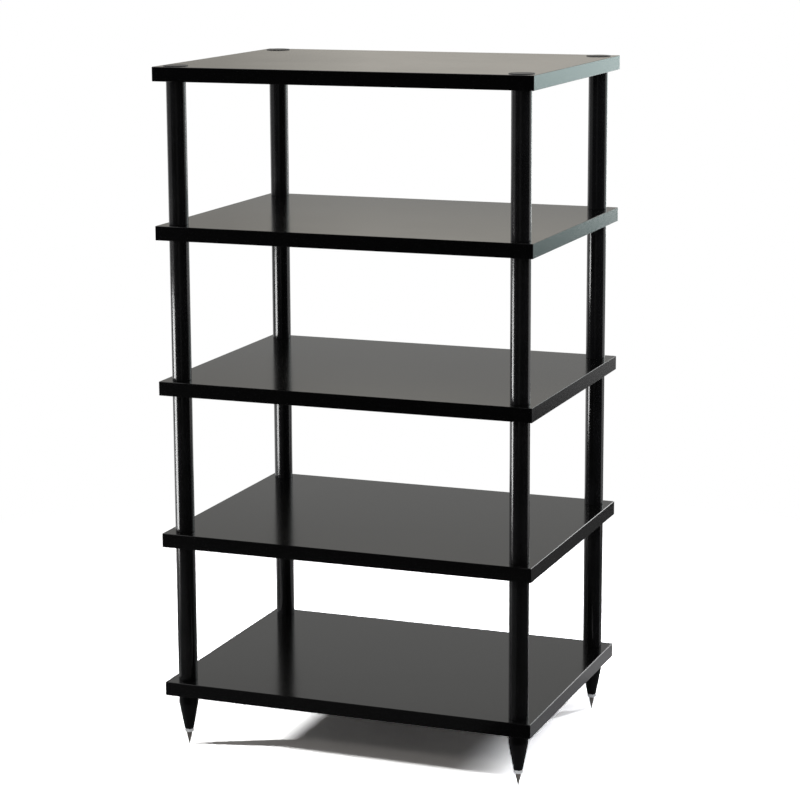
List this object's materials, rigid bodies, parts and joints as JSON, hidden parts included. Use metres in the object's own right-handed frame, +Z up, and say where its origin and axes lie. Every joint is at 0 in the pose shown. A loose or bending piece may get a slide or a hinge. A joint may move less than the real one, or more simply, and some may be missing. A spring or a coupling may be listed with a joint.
{
  "type": "audio equipment rack",
  "caption": "Free-standing open equipment rack: black laminated shelves stacked on round steel columns, with adjustable spiked feet.",
  "frame": {"origin": "on the floor under the middle of the rack, between the four spike points", "axes": "+X to the right seen from the front, +Y to the back, +Z up"},
  "size_m": [0.6, 0.44, 1.0674],
  "materials": {
    "board_laminate": "satin black melamine laminate on particle board",
    "edge_band": "satin black edge banding, finely grained",
    "column_paint": "semi-gloss black powder coat on steel tube",
    "cap_paint": "semi-gloss black powder coat on a steel disc",
    "foot_paint": "semi-gloss black powder coat on turned steel",
    "stud_steel": "plain threaded steel",
    "nut_zinc": "bright zinc plate",
    "spike_steel": "turned bright steel"
  },
  "bodies": {
    "rack": {"shelf_1": "board_laminate", "shelf_2": "board_laminate", "shelf_3": "board_laminate", "shelf_4": "board_laminate", "shelf_5": "board_laminate", "edge_band_1": "edge_band", "edge_band_2": "edge_band", "edge_band_3": "edge_band", "edge_band_4": "edge_band", "edge_band_5": "edge_band", "column_1_front_left": "column_paint", "column_1_front_right": "column_paint", "column_1_back_left": "column_paint", "column_1_back_right": "column_paint", "column_2_front_left": "column_paint", "column_2_front_right": "column_paint", "column_2_back_left": "column_paint", "column_2_back_right": "column_paint", "column_3_front_left": "column_paint", "column_3_front_right": "column_paint", "column_3_back_left": "column_paint", "column_3_back_right": "column_paint", "column_4_front_left": "column_paint", "column_4_front_right": "column_paint", "column_4_back_left": "column_paint", "column_4_back_right": "column_paint", "cap_bolt_front_left": "cap_paint", "cap_bolt_front_right": "cap_paint", "cap_bolt_back_left": "cap_paint", "cap_bolt_back_right": "cap_paint", "joining_stud_2_front_left": "stud_steel", "joining_stud_2_front_right": "stud_steel", "joining_stud_2_back_left": "stud_steel", "joining_stud_2_back_right": "stud_steel", "joining_stud_3_front_left": "stud_steel", "joining_stud_3_front_right": "stud_steel", "joining_stud_3_back_left": "stud_steel", "joining_stud_3_back_right": "stud_steel", "joining_stud_4_front_left": "stud_steel", "joining_stud_4_front_right": "stud_steel", "joining_stud_4_back_left": "stud_steel", "joining_stud_4_back_right": "stud_steel", "foot_stud_front_left": "stud_steel", "foot_stud_front_right": "stud_steel", "foot_stud_back_left": "stud_steel", "foot_stud_back_right": "stud_steel", "foot_front_left": "foot_paint", "foot_front_right": "foot_paint", "foot_back_left": "foot_paint", "foot_back_right": "foot_paint"},
    "spike_front_left": {"spike_front_left": "spike_steel"},
    "spike_front_right": {"spike_front_right": "spike_steel"},
    "spike_back_left": {"spike_back_left": "spike_steel"},
    "spike_back_right": {"spike_back_right": "spike_steel"},
    "lock_nut_front_left": {"lock_nut_front_left": "nut_zinc"},
    "lock_nut_front_right": {"lock_nut_front_right": "nut_zinc"},
    "lock_nut_back_left": {"lock_nut_back_left": "nut_zinc"},
    "lock_nut_back_right": {"lock_nut_back_right": "nut_zinc"}
  },
  "joints": [
    {"name": "spike_front_left_level", "type": "slide", "parent": "rack", "child": "spike_front_left", "axis": [0, 0, 1], "range_m": [-0.012, 0.004]},
    {"name": "spike_front_right_level", "type": "slide", "parent": "rack", "child": "spike_front_right", "axis": [0, 0, 1], "range_m": [-0.012, 0.004]},
    {"name": "spike_back_left_level", "type": "slide", "parent": "rack", "child": "spike_back_left", "axis": [0, 0, 1], "range_m": [-0.012, 0.004]},
    {"name": "spike_back_right_level", "type": "slide", "parent": "rack", "child": "spike_back_right", "axis": [0, 0, 1], "range_m": [-0.012, 0.004]},
    {"name": "lock_nut_front_left_turn", "type": "hinge", "parent": "rack", "child": "lock_nut_front_left", "pos_m": [-0.273, -0.193, 0.0229], "axis": [0, 0, -1], "range_deg": [0, 1410]},
    {"name": "lock_nut_front_right_turn", "type": "hinge", "parent": "rack", "child": "lock_nut_front_right", "pos_m": [0.273, -0.193, 0.0229], "axis": [0, 0, -1], "range_deg": [0, 1410]},
    {"name": "lock_nut_back_left_turn", "type": "hinge", "parent": "rack", "child": "lock_nut_back_left", "pos_m": [-0.273, 0.193, 0.0229], "axis": [0, 0, -1], "range_deg": [0, 1410]},
    {"name": "lock_nut_back_right_turn", "type": "hinge", "parent": "rack", "child": "lock_nut_back_right", "pos_m": [0.273, 0.193, 0.0229], "axis": [0, 0, -1], "range_deg": [0, 1410]}
  ]
}
